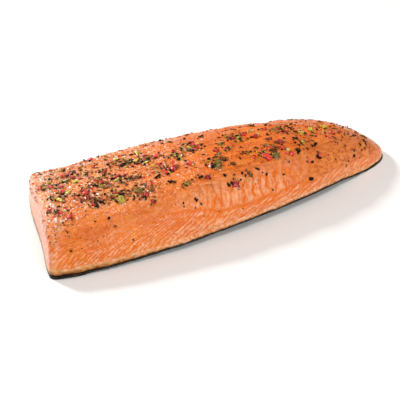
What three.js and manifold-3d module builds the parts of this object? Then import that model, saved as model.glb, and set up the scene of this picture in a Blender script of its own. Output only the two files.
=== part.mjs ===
// A peppered side of salmon, cut square at the thick end and lying on its skin.
// Millimetres, +X along the fillet towards the tail end, -Y the side cut along the back,
// +Z up. The origin is on the ground in the middle of the fillet.
import * as THREE from "three";
import { mergeVertices } from "three/addons/utils/BufferGeometryUtils.js";
import Module from "manifold-3d";

const wasm = await Module();
wasm.setup();

// Driving dimensions.
const CUT_X = -178; // the square cut across the thick end
const TIP_X = 179; // the furthest point of the tail end
const LENGTH = TIP_X - CUT_X;
const WIDTH = 154;
const CROWN = 50; // thickness at the thickest place
const SKIN = 1.2;
const FAT_AT_CUT = 5.5; // the tan fat under the flesh, thinning along the fillet
const FAT_AT_TAIL = 2.6;
const GAP = 0.3; // air between one layer and the next
const EDGE_LIFT_CUT = 1.6; // how far the edge of the skin curls off the ground
const EDGE_LIFT_BACK = 5.5;
const EDGE_LIFT_BELLY = 2.4;
const CURL = 0.2; // share of the half width that curls
const FAT_PROUD = 0.3; // how far each layer stands out past the flesh
const SKIN_PROUD = 1.4;
const TAIL_CAP = 86; // length over which the tail end rounds off in plan
const TAIL_ROUND = 2.3; // power of that rounding, 2 for an ellipse
const TAIL_LOW = 5; // power by which the top falls to the tip
const TAIL_Y = 28; // where the tip lies across the width
const TAIL_FALL = 0.66; // how much lower the tail end is than the middle, as a share of its height
const CUT_ROUND = 6; // radius of the edges round the square cut
const CUT_LEAN = 4; // how far the foot of the cut stands out past its top
const CUT_HOLLOW = 4.5; // how far the middle of the cut stands back behind its corners
const BELLY_DROP = 0.1; // how much lower the belly side is than the back, as a share of its height
const CORNER_DROP = 0.16; // how much lower still it is at the cut
const FLAKE_DEPTH = 0.7; // grooves between one flake and the next
const FLAKE_SLANT = 13; // how far a flake's line runs on towards the tail up the back face
const SEAM_DEPTH = 0.8; // the long seams of the top
const SEAM_TURNS = [1.12, 1.9]; // where they run over the arch, 0 at the back, PI at the belly

// Mesh density.
const FLAKE_RINGS = 86;
const ARCH_STEPS = 28;
const BASE_ACROSS = [-1, -0.94, -0.88, -0.8, 0, 0.8, 0.9, 1]; // shared by every layer, so they nest
const SLAB_RINGS = 30;

// The larger pieces of seasoning on the top: x, y and length of each, by kind.
// prettier-ignore
const RED_PIECES = [
  [-118, 55, 6], [-149, 28, 6.5], [-143, 30, 5.5], [-141, 16, 5.5], [-136, 12, 4.5], [-174, 8, 6],
  [-164, 5, 5], [-156, 4, 5], [-113, 11, 4.5], [-120, -6, 5], [-127, 7, 4], [-96, 19, 5],
  [-105, -4, 4.5], [-112, -30, 6.5], [-172, -33, 4.5], [-157, -49, 5], [-138, -18, 6.5],
  [-137, -28, 5], [-164, -42, 4.5], [-23, 27, 5], [-53, -11, 7], [-37, -11, 6], [-61, 18, 6],
  [-64, 0, 5], [-71, 25, 4.5], [-29, -38, 5], [-7, 2, 5], [3, 1, 4], [15, 21, 5], [-4, -47, 7],
  [-83, -53, 4], [-87, -43, 4.5], [35, -23, 8.5], [56, -2, 6], [54, -13, 5], [47, 6, 4.5],
  [68, 17, 5], [60, -22, 4.5], [38, 17, 6], [89, -20, 4],
];
// prettier-ignore
const GREEN_PIECES = [
  [-149, 41, 6], [-140, 33, 6], [-150, 12, 8], [-142, 6, 5.5], [-132, 16, 4.5], [-161, 10, 4.5],
  [-170, 8, 6], [-122, -12, 6.5], [-107, -10, 6.5], [-96, 33, 6], [-87, 25, 6], [-81, 20, 5.5],
  [-162, -20, 6], [-152, -11, 5], [-110, -43, 8.5], [-75, 36, 6], [-73, 11, 5], [-46, 12, 4.5],
  [-43, 3, 5], [-93, -35, 8], [-48, -41, 7], [-28, 18, 4.5], [-8, -5, 5], [-13, -20, 7.5],
  [-15, -27, 6], [0, 13, 6], [11, 26, 4.5], [37, 28, 5], [67, 29, 6], [82, 38, 5], [84, 15, 8],
  [97, 21, 6], [115, 29, 8], [78, -5, 6.5], [44, -23, 7.5], [21, 19, 5],
];
// prettier-ignore
const DARK_PIECES = [
  [-171, 1, 6], [-162, 23, 5], [-156, -10, 5], [-170, -15, 5], [-129, 17, 5], [-135, -13, 5.5],
  [-115, -25, 5], [-108, -34, 5.5], [-116, -37, 5], [-132, -33, 5], [-141, -29, 5],
  [-132, -42, 8], [-126, -39, 5], [-167, -40, 6.5], [-173, -38, 4.5], [-94, 17, 8],
  [-115, 5, 5], [-95, -13, 5], [-89, -12, 5], [-72, -20, 5.5], [-62, -34, 5.5], [-28, 13, 7],
  [-10, 37, 6.5], [-7, -14, 6.5], [-20, -24, 5], [-71, 14, 8], [-90, -45, 5.5], [-80, -38, 7],
  [-35, -37, 6.5], [5, 3, 5], [-7, -46, 6], [44, 43, 6.5], [29, 26, 5.5], [44, -16, 6.5],
  [89, -10, 6.5], [69, -19, 7], [15, -10, 5.5], [12, -39, 6.5],
];
const PIECE_SUNK = FLAKE_DEPTH + 0.5; // how deep a piece is pressed into the flesh
const PIECE_THICK = 0.42; // thickness as a share of length
const PIECE_THINNEST = 2.1;

// Colours and finishes.
const FLESH = new THREE.MeshStandardMaterial({ color: 0xe98a4a, roughness: 0.35 });
const FAT = new THREE.MeshStandardMaterial({ color: 0xc79a66, roughness: 0.5 });
const SKIN_DARK = new THREE.MeshStandardMaterial({ color: 0x1d1a18, roughness: 0.35 });

const clamp = (x) => Math.min(Math.max(x, 0), 1);
const smooth = (from, to, x) => {
  const t = clamp((x - from) / (to - from));
  return t * t * (3 - 2 * t);
};
const mix = (a, b, t) => a + (b - a) * t;
const along = (x) => clamp((x - CUT_X) / LENGTH);

// A repeatable draw between 0 and 1 for the whole number n.
const draw = (n) => {
  const s = Math.sin(n * 12.9898) * 43758.5453;
  return s - Math.floor(s);
};

// The plan: the back edge swings in towards the tail end, the belly edge bows out.
function backEdge(x) {
  const t = along(x);
  return -WIDTH / 2 + 2 + 86 * t * t + 2 * (1 - smooth(0, 0.08, t)) - 2 * smooth(0.8, 1, t);
}

function bellyEdge(x) {
  const t = along(x);
  return WIDTH / 2 - 10 + 10 * Math.sin(Math.PI * clamp(t / 0.9)) + 3 * smooth(0.8, 1, t);
}

// Height of the top: it rises from the cut to the middle and falls to the tail end.
function crown(x) {
  const t = along(x);
  const rise = 1 - 0.17 * (1 - smooth(0, 0.45, t));
  return CROWN * rise * (1 - TAIL_FALL * clamp((t - 0.6) / 0.4) ** 2);
}

// Middle line, half width and height share of the section at x, with the tail end rounded.
function plan(x) {
  const k = clamp((x - (TIP_X - TAIL_CAP)) / TAIL_CAP);
  const narrow = (1 - k ** TAIL_ROUND) ** (1 / TAIL_ROUND);
  const low = Math.sqrt(1 - k ** TAIL_LOW);
  const middle = (backEdge(x) + bellyEdge(x)) / 2;
  const half = (bellyEdge(x) - backEdge(x)) / 2;
  const turn = smooth(TIP_X - TAIL_CAP, TIP_X, x);
  return { middle: mix(middle, TAIL_Y, turn), half: half * narrow, narrow, low };
}

// Underside of the skin: flat on the ground, curled up along its edges and flat again at the
// tip. across is -1 at the flesh's back edge and 1 at its belly edge.
function underside(x, across) {
  const back = mix(EDGE_LIFT_CUT, EDGE_LIFT_BACK, smooth(0.1, 0.55, along(x)));
  const flatTip = 1 - smooth(0.76, 0.94, along(x));
  const lift = mix(back, EDGE_LIFT_BELLY, smooth(-0.5, 0.5, across)) * flatTip;
  return lift * Math.max(1 - (1 - Math.abs(across)) / CURL, 0) ** 2;
}

// Heights of the layers above the underside, from the skin's top to the flesh's base.
const fatThickness = (x) => mix(FAT_AT_CUT, FAT_AT_TAIL, along(x));
const skinTop = () => SKIN;
const fatBase = () => SKIN + GAP;
const fatTop = (x) => SKIN + GAP + fatThickness(x);
const fleshBase = (x, across) => underside(x, across) + fatTop(x) + GAP;

// The arch of a section, turn from 0 at the back edge over the top to PI at the belly edge:
// a superellipse, steeper on the back side, whose shoulder there stands inward, and lower on the
// belly side.
function archPoint(x, turn) {
  const { middle, half, narrow, low } = plan(x);
  const c = Math.cos(turn);
  const s = Math.max(Math.sin(turn), 0);
  const side = -Math.sign(c) * Math.abs(c) ** (c > 0 ? 0.52 : 0.62);
  const drop = BELLY_DROP + CORNER_DROP * (1 - smooth(0.05, 0.5, along(x)));
  const rise = s ** (c > 0 ? 0.6 : 0.66) * (1 - drop * smooth(-0.2, 1, side));
  const base = fleshBase(x, side);
  const top = fleshBase(x, 0) + (crown(x) - fleshBase(x, 0)) * low;
  const shoulder = 7 * narrow * rise * smooth(0.2, 1, -side);
  return [middle + half * side + shoulder, base + (top - base) * rise];
}

// The slant of the square cut: its foot leans out, its middle and its belly side stand back.
function cutSlant(x, y, z) {
  const t = (y + WIDTH / 2) / WIDTH;
  const belly = 11 * clamp((t - 0.55) / 0.45) ** 2;
  const back = 3 * clamp((0.2 - t) / 0.2) ** 2;
  const hollow = CUT_HOLLOW * Math.sin(Math.PI * clamp(t / 0.95));
  const lean = CUT_LEAN * (1 - z / CROWN);
  const share = clamp(0.5 - (x - CUT_X - LENGTH / 2) / LENGTH) ** 2;
  return (6 * t + belly + back + hollow - lean) * share;
}

// Rings from the cut to the tip: x, how far the ring is drawn in for the rounded edge, and its
// size on the face of the cut.
function stations(count, round) {
  const rings = [{ x: CUT_X, inset: round, size: 0.5 }];
  const steps = 3;
  for (let i = 0; i < steps; i++) {
    const angle = (i / steps) * (Math.PI / 2);
    rings.push({
      x: CUT_X + round * (1 - Math.cos(angle)),
      inset: round * (1 - Math.sin(angle)),
      size: 1,
    });
  }
  for (let i = 0; i < count; i++) {
    const t = i / (count - 1);
    const share = t < 0.8 ? (t / 0.8) * 0.85 : 0.85 + 0.15 * Math.sin(((t - 0.8) / 0.2) * 1.49);
    rings.push({ x: mix(CUT_X + round, TIP_X, share), inset: 0, size: 1 });
  }
  return rings;
}

// Draws a ring's point in towards the heart of the section, and slants it with the cut.
function settle(ring, y, z, heart) {
  const { middle, half } = plan(ring.x);
  const pulledY = middle + (y - middle) * (1 - ring.inset / Math.max(half, 1)) * ring.size;
  const pulledZ = heart + (z - heart) * ring.size;
  return [ring.x + cutSlant(ring.x, pulledY, pulledZ), pulledY, pulledZ];
}

// Joins closed rings of equal count into one closed solid. The first ring is closed by a pole,
// or where there is none by a strip from its first half to its second, and the last by a pole.
function loft(rings, lastPole, firstPole) {
  const count = rings[0].length;
  const points = [...rings.flat(), lastPole];
  const last = rings.length * count;
  const index = [];
  for (let i = 0; i < count; i++) {
    const j = (i + 1) % count;
    for (let r = 0; r < rings.length - 1; r++) {
      const a = r * count;
      const b = a + count;
      index.push(a + i, b + i, b + j, a + i, b + j, a + j);
    }
    index.push(last, last - count + j, last - count + i);
    if (firstPole) index.push(last + 1, i, j);
  }
  if (firstPole) points.push(firstPole);
  for (let i = 0; !firstPole && i < count / 2 - 1; i++) {
    const j = count - 1 - i;
    index.push(i, i + 1, j, i + 1, j - 1, j);
  }
  const geometry = new THREE.BufferGeometry();
  geometry.setAttribute("position", new THREE.Float32BufferAttribute(points.flat(), 3));
  geometry.setIndex(index);
  return geometry;
}

function toSolid(geometry) {
  const merged = mergeVertices(geometry, 1e-4);
  return new wasm.Manifold(
    new wasm.Mesh({
      numProp: 3,
      vertProperties: merged.attributes.position.array,
      triVerts: new Uint32Array(merged.index.array),
    }),
  );
}

function toGeometry(solid) {
  const mesh = solid.getMesh();
  const geometry = new THREE.BufferGeometry();
  geometry.setAttribute("position", new THREE.BufferAttribute(mesh.vertProperties, 3));
  geometry.setIndex(new THREE.BufferAttribute(mesh.triVerts, 1));
  return geometry;
}

// How far a flake's line has run towards the tail at a turn of the arch: up the back face,
// back over the top and down again in a flattened W. It fades out at both ends.
function flakeLine(x, turn) {
  const wave =
    smooth(0, 0.9, turn) -
    0.7 * smooth(0.9, 1.9, turn) +
    0.5 * smooth(1.9, 2.5, turn) -
    0.8 * smooth(2.5, Math.PI, turn);
  const t = along(x);
  return FLAKE_SLANT * wave * smooth(0, 0.16, t) * (1 - smooth(0.72, 0.94, t));
}

// Depth of the long seams at a turn of the arch.
function seamDepth(x, turn) {
  const near = Math.min(...SEAM_TURNS.map((at) => Math.abs(turn - at)));
  const t = along(x);
  return SEAM_DEPTH * (1 - smooth(0, 0.13, near)) * smooth(0.03, 0.2, t) * (1 - smooth(0.8, 0.95, t));
}

// The flesh: arches over a base, with every second ring sunk into a groove between flakes.
function fleshGeometry() {
  const rings = stations(FLAKE_RINGS, CUT_ROUND).map((ring, number) => {
    const groove = number % 2 ? FLAKE_DEPTH * smooth(0, 0.06, along(ring.x)) : 0;
    const depth = groove * (1 - smooth(0.93, 1, along(ring.x)));
    const heart = fleshBase(ring.x, 0) + (crown(ring.x) - fleshBase(ring.x, 0)) / 2;
    const loop = [];
    for (let j = 0; j <= ARCH_STEPS; j++) {
      const turn = (j / ARCH_STEPS) * Math.PI;
      const placed = { ...ring, x: ring.x + flakeLine(ring.x, turn) };
      const [y, z] = archPoint(placed.x, turn);
      const sunk = depth + seamDepth(placed.x, turn);
      const down = (sunk + ring.inset * 0.9) * Math.sin(turn);
      loop.push(settle(placed, y + sunk * Math.cos(turn), z - down, heart));
    }
    const { middle, half } = plan(ring.x);
    for (const across of BASE_ACROSS.slice(1, -1).reverse()) {
      loop.push(settle(ring, middle + half * across, fleshBase(ring.x, across), heart));
    }
    return loop;
  });
  const heart = fleshBase(CUT_X, 0) + (crown(CUT_X) - fleshBase(CUT_X, 0)) / 2;
  const { middle } = plan(CUT_X);
  const face = [CUT_X + cutSlant(CUT_X, middle, heart), middle, heart];
  return loft(rings, [TIP_X, TAIL_Y, fleshBase(TIP_X, 0)], face);
}

// A thin layer under the flesh, between two heights above the underside. It stands out past the
// flesh by proud, but ends flush with it at the cut. It lies quite flat up to where its edges
// start to curl.
function slabGeometry(lower, upper, proud) {
  const rings = stations(SLAB_RINGS, CUT_ROUND).slice(1).map((ring) => {
    const { middle, half } = plan(ring.x);
    const atTip = smooth(TIP_X - 20, TIP_X, ring.x);
    const place = (share, height) => {
      const reach = Math.abs(share) > 1 - CURL ? (half + proud) / Math.max(half, 1) : 1;
      const z = underside(ring.x, share * reach) + height(ring.x);
      const [x, y, up] = settle(ring, middle + (half + proud) * share, z, z);
      return [x + proud * atTip, y, up];
    };
    const over = BASE_ACROSS.map((share) => place(share, upper));
    const under = BASE_ACROSS.map((share) => place(share, lower));
    return [...over, ...under.reverse()];
  });
  return loft(rings, [TIP_X + proud, TAIL_Y, (lower(TIP_X) + upper(TIP_X)) / 2]);
}

// A point of the flesh's top by x and y, as deep as the seam there, with the outward direction.
function topPoint(x, y) {
  const { middle, half } = plan(x);
  const side = (y - middle) / half;
  const turn = Math.acos(-Math.sign(side) * Math.abs(side) ** (side < 0 ? 1 / 0.52 : 1 / 0.62));
  const at = (px, pturn) => {
    const [py, pz] = archPoint(px, pturn);
    return new THREE.Vector3(px + cutSlant(px, py, pz), py, pz);
  };
  const point = at(x, turn);
  const lengthways = at(x + 1, turn).sub(point);
  const crossways = at(x, turn + 0.02).sub(point);
  const out = lengthways.cross(crossways).normalize();
  return { point: point.addScaledVector(out, -seamDepth(x, turn)), out };
}

// One piece of cracked or dried pepper: an icosahedron squashed flat and made uneven.
function pieceGeometry(number, long) {
  const geometry = new THREE.IcosahedronGeometry(1, 0);
  geometry.deleteAttribute("normal");
  geometry.deleteAttribute("uv");
  const merged = mergeVertices(geometry, 1e-3);
  const corner = merged.attributes.position;
  for (let i = 0; i < corner.count; i++) {
    const uneven = 0.78 + 0.4 * draw(number * 17 + i);
    corner.setXYZ(i, corner.getX(i) * uneven, corner.getY(i) * uneven, corner.getZ(i) * uneven);
  }
  const wide = long * (0.55 + 0.35 * draw(number * 17 + 13));
  const thick = Math.max(long * PIECE_THICK, PIECE_THINNEST);
  merged.scale(long / 2, wide / 2, thick / 2);
  return { merged, thick };
}

// Every piece with its number, which gives its spin and its uneven form, the largest first.
function seasoning() {
  const pieces = [...RED_PIECES, ...GREEN_PIECES, ...DARK_PIECES].map(([x, y, long], i) => ({
    number: i + 1,
    place: [x, y],
    long,
    spin: 2 * Math.PI * draw((i + 1) * 5 + 4),
  }));
  return pieces.sort((a, b) => b.long - a.long);
}

function pieceSolid({ number, place, long, spin }) {
  const { merged, thick } = pieceGeometry(number, long);
  const { point, out } = topPoint(...place);
  const tilt = new THREE.Quaternion().setFromUnitVectors(new THREE.Vector3(0, 0, 1), out);
  const turned = new THREE.Quaternion().setFromAxisAngle(new THREE.Vector3(0, 0, 1), spin);
  const centre = point.addScaledVector(out, thick / 2 - PIECE_SUNK);
  const placed = new THREE.Matrix4().compose(
    centre,
    tilt.multiply(turned),
    new THREE.Vector3(1, 1, 1),
  );
  return toSolid(merged.applyMatrix4(placed));
}

function fleshWithSeasoning() {
  const flesh = toSolid(fleshGeometry());
  return seasoning().reduce((whole, piece) => whole.add(pieceSolid(piece)), flesh);
}

function named(name, geometry, material) {
  const mesh = new THREE.Mesh(geometry, material);
  mesh.name = name;
  return mesh;
}

const fillet = new THREE.Group();
fillet.add(
  named("flesh", toGeometry(fleshWithSeasoning()), FLESH),
  named("fat_layer", slabGeometry(fatBase, fatTop, FAT_PROUD), FAT),
  named("skin", slabGeometry(() => 0, skinTop, SKIN_PROUD), SKIN_DARK),
);

export default fillet;
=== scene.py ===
# %% [markdown]
# # A peppered side of salmon
# A thick piece of cooked salmon lies on its skin. It has three layers: orange flesh in flakes, a thin
# band of tan fat, and black skin. Dried pepper, cracked peppercorns and herbs are scattered over the oily
# top.
#
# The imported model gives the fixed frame: its nodes `flesh`, `fat_layer` and `skin` are plain solids of
# the right size. This script makes a fine surface for each of them, in the same place, and then the
# seasoning.

import bpy
import numpy as np
from mathutils import Euler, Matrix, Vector


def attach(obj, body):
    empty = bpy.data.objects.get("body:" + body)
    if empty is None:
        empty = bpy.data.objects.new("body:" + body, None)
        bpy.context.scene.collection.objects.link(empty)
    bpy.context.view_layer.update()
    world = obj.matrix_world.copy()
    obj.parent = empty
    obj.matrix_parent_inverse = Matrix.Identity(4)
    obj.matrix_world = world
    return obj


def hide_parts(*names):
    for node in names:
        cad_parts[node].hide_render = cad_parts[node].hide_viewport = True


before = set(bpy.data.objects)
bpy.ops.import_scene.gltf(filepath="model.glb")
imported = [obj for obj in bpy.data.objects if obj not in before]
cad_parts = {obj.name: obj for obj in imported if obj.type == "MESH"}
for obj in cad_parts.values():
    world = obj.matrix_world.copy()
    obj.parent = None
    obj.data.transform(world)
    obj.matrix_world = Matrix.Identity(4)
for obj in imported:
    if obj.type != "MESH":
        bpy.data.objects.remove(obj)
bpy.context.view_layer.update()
MM = 0.001

# %% [markdown]
# ## The form, as functions
# A fillet has no straight line in it, but its form follows a few rules: a plan with a back edge that
# swings in towards the tail, a height that rises and falls along the length, and a section shaped like a
# flattened arch. Each rule is a short function of x, in millimetres, that works on whole arrays. The
# values are those of the solid model, so the fine surface lies where the solid is.

# %% Driving sizes in millimetres
CUT_X, TIP_X = -178.0, 179.0  # the square cut and the furthest point of the tail
LENGTH = TIP_X - CUT_X
WIDTH, CROWN = 154.0, 50.0
SKIN, GAP = 1.2, 0.3  # the skin's thickness, and the air between layers
FAT_AT_CUT, FAT_AT_TAIL = 5.5, 2.6
BACK_SWING, BELLY_BOW = 86.0, 10.0  # how far the back edge swings in and the belly edge bows out
EDGE_LIFT_CUT, EDGE_LIFT_BACK, EDGE_LIFT_BELLY = 1.6, 5.5, 2.4  # how far the edges curl off the ground
CUT_ROUND, CUT_LEAN, CUT_HOLLOW = 6.0, 4.0, 4.5  # edge radius, lean and hollow of the cut
CUT_SLANT, CUT_BELLY, CUT_BACK = 6.0, 11.0, 3.0  # how far the cut stands back across, and at its corners
SHOULDER = 7.0  # how far the back shoulder stands inward of the back edge
TAIL_CAP, TAIL_Y = 86.0, 28.0  # length over which the tail rounds off, and where its tip lies

# %% Driving shares and powers
CURL = 0.2  # share of the half width that curls
CROWN_AT_CUT, TAIL_FALL = 0.17, 0.66  # how much lower the top is at the cut and at the tail
TAIL_ROUND, TAIL_LOW = 2.3, 5  # powers by which the tail narrows and lowers
BELLY_DROP, CORNER_DROP = 0.1, 0.16  # how much lower the belly side is, and how much more at the cut
SIDE_POWERS = (0.52, 0.62)  # powers of the section across, on the back and on the belly side
RISE_POWERS = (0.6, 0.66)  # powers of the section upward


def mix(a, b, t):
    """a where t is 0, b where t is 1, and a straight line between."""
    return a + (b - a) * t


def smooth(start, stop, x):
    """0 before start, 1 after stop, and 3t^2 - 2t^3 between; stop may be the smaller."""
    t = np.clip((x - start) / (stop - start), 0, 1)
    return t * t * (3 - 2 * t)


def changing(value, changes, x):
    """A value that changes smoothly along x, each change given as its start, its stop and its amount."""
    return value + sum(amount * smooth(start, stop, x) for start, stop, amount in changes)


def along(x):
    """Share of the length from the cut, 0, to the tip, 1."""
    return np.clip((x - CUT_X) / LENGTH, 0, 1)


print("fillet:", LENGTH, "x", WIDTH, "x", CROWN, "mm")

# %% Plan and height


def back_edge(x):
    """The back edge's y, swinging in with the square of the length."""
    t = along(x)
    return -WIDTH / 2 + 2 + BACK_SWING * t * t + 2 * smooth(0.08, 0, t) - 2 * smooth(0.8, 1, t)


def belly_edge(x):
    """The belly edge's y, bowed out by a sine."""
    t = along(x)
    bow = BELLY_BOW * (np.sin(np.pi * np.clip(t / 0.9, 0, 1)) - 1)
    return WIDTH / 2 + bow + 3 * smooth(0.8, 1, t)


def crown(x):
    """Height of the top: lower at the cut, full in the middle, falling with a square to the tail."""
    t = along(x)
    rise = 1 - CROWN_AT_CUT * smooth(0.45, 0, t)
    return CROWN * rise * (1 - TAIL_FALL * np.clip((t - 0.6) / 0.4, 0, 1) ** 2)


def plan(x):
    """Middle line, half width, and how far the rounded tail narrows and lowers the section at x."""
    k = np.clip((x - (TIP_X - TAIL_CAP)) / TAIL_CAP, 0, 1)
    narrow = (1 - k**TAIL_ROUND) ** (1 / TAIL_ROUND)
    low = np.sqrt(1 - k**TAIL_LOW)
    middle = (back_edge(x) + belly_edge(x)) / 2
    half = (belly_edge(x) - back_edge(x)) / 2
    return mix(middle, TAIL_Y, smooth(TIP_X - TAIL_CAP, TIP_X, x)), half * narrow, narrow, low


middle, half, _, _ = plan(np.array([-150.0, 0.0, 150.0]))
print("half width near the cut, in the middle and near the tail:", np.round(half, 1))

# %% Layers and section


def underside(x, across):
    """Underside of the skin: 0 on the ground, lifted with a square along the outer fifth of each side."""
    back = mix(EDGE_LIFT_CUT, EDGE_LIFT_BACK, smooth(0.1, 0.55, along(x)))
    lift = mix(back, EDGE_LIFT_BELLY, smooth(-0.5, 0.5, across)) * smooth(0.94, 0.76, along(x))
    return lift * np.maximum(1 - (1 - np.abs(across)) / CURL, 0) ** 2


def fat_thickness(x):
    """The fat thins in a straight line from the cut to the tail."""
    return mix(FAT_AT_CUT, FAT_AT_TAIL, along(x))


def flesh_base(x, across):
    """The flesh starts over skin, fat and two gaps."""
    return underside(x, across) + SKIN + fat_thickness(x) + 2 * GAP


def arch(x, turn):
    """Section at x: a superellipse from the back edge, turn 0, over the top to the belly edge, turn pi."""
    middle, half, narrow, low = plan(x)
    c, s = np.cos(turn), np.maximum(np.sin(turn), 0)
    side = -np.sign(c) * np.abs(c) ** np.where(c > 0, *SIDE_POWERS)
    drop = BELLY_DROP + CORNER_DROP * smooth(0.5, 0.05, along(x))
    rise = s ** np.where(c > 0, *RISE_POWERS) * (1 - drop * smooth(-0.2, 1, side))
    base = flesh_base(x, side)
    top = flesh_base(x, 0) + (crown(x) - flesh_base(x, 0)) * low
    shoulder = SHOULDER * narrow * rise * smooth(0.2, 1, -side)
    return middle + half * side + shoulder, base + (top - base) * rise


def cut_slant(x, y, z):
    """Push along x that slants the square cut: it leans out at the foot and stands back at the belly."""
    t = (y + WIDTH / 2) / WIDTH
    belly = CUT_BELLY * np.clip((t - 0.55) / 0.45, 0, 1) ** 2
    back = CUT_BACK * np.clip((0.2 - t) / 0.2, 0, 1) ** 2
    hollow = CUT_HOLLOW * np.sin(np.pi * np.clip(t / 0.95, 0, 1))
    share = np.clip(0.5 - (x - CUT_X - LENGTH / 2) / LENGTH, 0, 1) ** 2
    return (CUT_SLANT * t + belly + back + hollow - CUT_LEAN * (1 - z / CROWN)) * share


print("top of the arch in the middle:", np.round(arch(0.0, np.pi / 2), 1))

# %% [markdown]
# ## Meshes from arrays
# Each surface is a grid of rings from the cut to the tip. A grid keeps its rows and columns, so faces,
# colours and places for the seasoning can all be worked out from two numbers. Sculpting would give freer
# shapes, but a grid is exact and repeatable. Soft noise is made here too, because natural food is never
# even.

# %% Noise and mesh helpers


def lattice(i, j, k, seed):
    """A fixed number from 0 to 1 for each lattice point: the fraction of a large sine."""
    s = np.sin(i * 127.1 + j * 311.7 + k * 74.7 + seed * 53.3) * 43758.5453
    return s - np.floor(s)


def cloud(points, size, seed):
    """Soft noise from -1 to 1: lattice numbers a size apart, blended with smoothed weights."""
    scaled = points / size
    cell = np.floor(scaled)
    t = scaled - cell
    t = t * t * (3 - 2 * t)
    total = 0
    for corner in range(8):
        d = [(corner >> axis) & 1 for axis in range(3)]
        weight = np.prod([t[..., a] if d[a] else 1 - t[..., a] for a in range(3)], axis=0)
        total = total + weight * lattice(*(cell[..., a] + d[a] for a in range(3)), seed)
    return 2 * total - 1


def clouds(points, *layers):
    """Soft noise added up from layers, each given as its height, its size and its seed."""
    return sum(height * cloud(points, size, seed) for height, size, seed in layers)


def build(name, points, faces, attributes=None, flat=False):
    """A mesh object from points in millimetres and arrays of faces of three or four corners."""
    mesh = bpy.data.meshes.new(name)
    corners = np.concatenate([f.ravel() for f in faces]).astype(np.int32)
    totals = np.concatenate([np.full(len(f), f.shape[1]) for f in faces])
    mesh.vertices.add(len(points))
    mesh.vertices.foreach_set("co", (np.asarray(points) * MM).astype(np.float32).ravel())
    mesh.loops.add(len(corners))
    mesh.loops.foreach_set("vertex_index", corners)
    mesh.polygons.add(len(totals))
    mesh.polygons.foreach_set("loop_start", (np.cumsum(totals) - totals).astype(np.int32))
    mesh.polygons.foreach_set("use_smooth", np.full(len(totals), not flat))
    mesh.update(calc_edges=True)
    for key, values in (attributes or {}).items():
        attribute = mesh.attributes.new(key, "FLOAT", "POINT")
        attribute.data.foreach_set("value", values.astype(np.float32).ravel())
    made = bpy.data.objects.new(name, mesh)
    bpy.context.scene.collection.objects.link(made)
    print(name, "has", len(points), "points and", int((totals - 2).sum()), "triangles")
    return made


def ring_faces(rows, columns):
    """Quads between neighbouring rings of equal count, each ring closed on itself."""
    i, j = np.meshgrid(np.arange(rows - 1), np.arange(columns), indexing="ij")
    a, b = i * columns + j, i * columns + (j + 1) % columns
    return np.stack([a, a + columns, b + columns, b], -1).reshape(-1, 4)


def pole_faces(ring, pole, first):
    """Triangles from one ring to a pole, turned outward at the first or the last end."""
    following = np.roll(ring, -1)
    pair = (ring, following) if first else (following, ring)
    return np.stack([np.full(len(ring), pole), *pair], -1)


# %% Rings from the cut to the tip


def stations(face, rounding, body):
    """Rings as x, how far each is drawn in, and its size: growing on the face of the cut, then round its
    edge in a quarter circle, then along the body, closer and closer towards the tip."""
    turn = np.linspace(0, np.pi / 2, rounding + 1)[1:-1]
    t = np.linspace(0, 1, body)
    share = np.where(t < 0.8, t / 0.8 * 0.85, 0.85 + 0.15 * np.sin((t - 0.8) / 0.2 * 1.55))
    x = [np.full(face, CUT_X), CUT_X + CUT_ROUND * (1 - np.cos(turn)), mix(CUT_X + CUT_ROUND, TIP_X, share)]
    inset = [np.full(face, CUT_ROUND), CUT_ROUND * (1 - np.sin(turn)), np.zeros(body)]
    size = [np.arange(1, face + 1) / max(face, 1), np.ones(rounding - 1), np.ones(body)]
    return [np.concatenate(part)[:, None] for part in (x, inset, size)]


def even_turns(count):
    """Turns that lie evenly along the arch: the length of the middle section, read backwards."""
    turn = np.linspace(0, np.pi, 4001)
    y, z = arch(0.0, turn)
    run = np.concatenate([[0], np.cumsum(np.hypot(np.diff(y), np.diff(z)))])
    return np.interp(np.linspace(0, run[-1], count), run, turn)


def settle(x, inset, size, y, z, heart):
    """Draws points in towards the heart of their section, then slants them with the cut."""
    middle, half, _, _ = plan(x)
    y = middle + (y - middle) * (1 - inset / np.maximum(half, 1)) * size
    z = heart + (z - heart) * size
    return np.stack([x + cut_slant(x, y, z), y, z], -1)


def outward_of(grid):
    """Unit directions out of a grid of points: the cross product of its two gradients."""
    out = np.cross(np.gradient(grid, axis=0), np.gradient(grid, axis=1))
    return out / np.maximum(np.linalg.norm(out, axis=2, keepdims=True), 1e-9)


FACE_RINGS, ROUND_RINGS, BODY_RINGS = 26, 7, 335
ARCH_POINTS = 226
ring_x, ring_inset, ring_size = stations(FACE_RINGS, ROUND_RINGS, BODY_RINGS)
turns = even_turns(ARCH_POINTS)[None, :]
print(len(ring_x), "rings of", ARCH_POINTS, "points")

# %% Drifts of the finer seasoning as x, y, spread and share
DRIFTS = np.array([
    [-165, 6, 8, 6], [-141, 24, 9, 8], [-158, -15, 7, 6], [-139, -20, 7, 6], [-118, -9, 11, 11],
    [-128, -36, 8, 7], [-111, -36, 8, 7], [-94, 23, 8, 7], [-77, 17, 10, 9], [-94, -11, 8, 6],
    [-88, -36, 10, 9], [-166, -38, 8, 3], [-63, -7, 9, 7], [-45, 9, 7, 4], [-26, 18, 8, 7],
    [-13, -17, 8, 7], [18, 21, 9, 8], [4, 3, 7, 3], [66, 24, 10, 5], [48, -10, 9, 8], [77, -7, 9, 6],
    [104, 20, 14, 3], [-120, 32, 20, 7], [145, 8, 10, 3], [30, -16, 18, 5],
])  # fmt: skip
print(len(DRIFTS), "drifts")

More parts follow.
